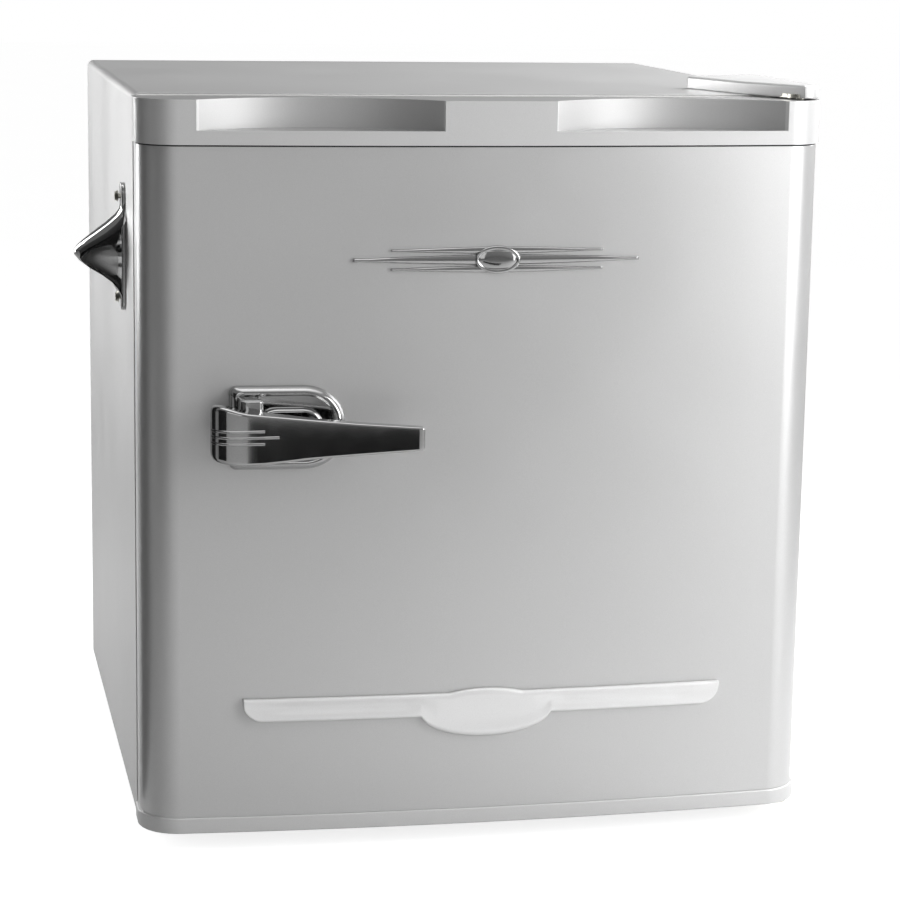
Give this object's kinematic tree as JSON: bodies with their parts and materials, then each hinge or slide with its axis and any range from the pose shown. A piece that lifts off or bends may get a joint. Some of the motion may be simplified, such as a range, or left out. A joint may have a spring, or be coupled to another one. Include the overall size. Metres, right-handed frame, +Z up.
{
  "type": "mini fridge",
  "caption": "Retro tabletop fridge: boxy insulated cabinet, bulged hinged door with finger scoops, chrome latch-style pull, chiller box, wire shelf and door racks.",
  "frame": {"origin": "middle of the footprint of the whole appliance with its handle and bottle opener, on the floor", "axes": "+X to the right seen from the front, +Y from the door towards the back, +Z up; the door faces -Y"},
  "size_m": [0.481, 0.5096, 0.4965],
  "materials": {
    "cabinet_paint": "satin silver-grey paint",
    "door_paint": "satin silver-grey paint",
    "cap_plastic": "painted satin silver plastic",
    "silver_trim": "pale silver paint",
    "chrome": "mirror plated",
    "zinc": "zinc-plated steel",
    "black_steel": "black paint",
    "black_plastic": "black moulded plastic",
    "gasket_black": "black magnetic gasket",
    "rubber": "black rubber",
    "foam": "rigid polyurethane foam",
    "liner_white": "white thermoformed sheet",
    "white_plastic": "white moulded plastic",
    "white_wire": "white coated steel wire",
    "tray_plastic": "frosted clear plastic",
    "clear_plastic": "clear tinted plastic",
    "aluminium": "bare rolled sheet",
    "copper": "bare copper"
  },
  "bodies": {
    "cabinet": {"outer_shell": "cabinet_paint", "base_pan": "black_steel", "back_panel": "cabinet_paint", "back_panel_screws": "zinc", "insulation_foam": "foam", "inner_liner": "liner_white", "compressor_tray": "black_steel", "rear_feet": "rubber", "foot_inserts": "zinc", "compressor": "black_steel", "compressor_grommets": "rubber", "compressor_bolts": "zinc", "relay_cover": "black_plastic", "cord_gland": "black_plastic", "filter_drier": "copper", "discharge_pipe": "copper", "link_pipe": "copper", "drier_pipe": "copper", "condenser_coil_left": "copper", "condenser_coil_right": "copper", "capillary_tube": "copper", "suction_pipe": "copper", "evaporator": "aluminium", "evaporator_hangers": "white_plastic", "chiller_bezel": "white_plastic", "drip_tray_rails": "white_plastic", "thermostat_housing": "white_plastic", "thermostat_switch": "zinc", "sensor_tube": "copper", "upper_hinge": "zinc", "upper_hinge_screws": "zinc", "hinge_cover": "cap_plastic", "lower_hinge": "zinc", "lower_hinge_screws": "zinc", "bottle_opener": "chrome", "opener_screws": "zinc"},
    "door": {"door_skin": "door_paint", "door_foam": "foam", "door_liner": "liner_white", "door_gasket": "gasket_black", "door_top_cap": "cap_plastic", "door_bottom_cap": "cap_plastic", "upper_bush": "white_plastic", "lower_bush": "white_plastic", "handle_base": "chrome", "handle_lever": "chrome", "handle_screws": "zinc", "front_badge": "chrome", "lower_trim": "silver_trim", "upper_door_rack": "white_plastic", "lower_door_rack": "white_plastic"},
    "chiller_flap": {"chiller_door": "clear_plastic"},
    "drip_tray": {"drip_tray": "tray_plastic"},
    "shelf": {"wire_shelf": "white_wire"},
    "knob": {"thermostat_knob": "white_plastic"},
    "foot_left": {"leveling_foot_left": "black_plastic"},
    "foot_right": {"leveling_foot_right": "black_plastic"}
  },
  "joints": [
    {"name": "door_hinge", "type": "hinge", "parent": "cabinet", "child": "door", "pos_m": [0.2265, -0.1918, 0.25], "axis": [0, 0, 1], "range_deg": [0, 135]},
    {"name": "chiller_door_hinge", "type": "hinge", "parent": "cabinet", "child": "chiller_flap", "pos_m": [-0.034, -0.0438, 0.435], "axis": [-1, 0, 0], "range_deg": [0, 90]},
    {"name": "drip_tray_slide", "type": "slide", "parent": "cabinet", "child": "drip_tray", "axis": [0, -1, 0], "range_m": [0, 0.08]},
    {"name": "shelf_slide", "type": "slide", "parent": "cabinet", "child": "shelf", "axis": [0, -1, 0], "range_m": [0, 0.07]},
    {"name": "thermostat_turn", "type": "hinge", "parent": "cabinet", "child": "knob", "pos_m": [0.17, 0.0152, 0.409], "axis": [-1, 0, 0], "range_deg": [0, 270]},
    {"name": "left_foot_slide", "type": "slide", "parent": "cabinet", "child": "foot_left", "axis": [0, 0, -1], "range_m": [0, 0.008]},
    {"name": "right_foot_slide", "type": "slide", "parent": "cabinet", "child": "foot_right", "axis": [0, 0, -1], "range_m": [0, 0.008]}
  ]
}
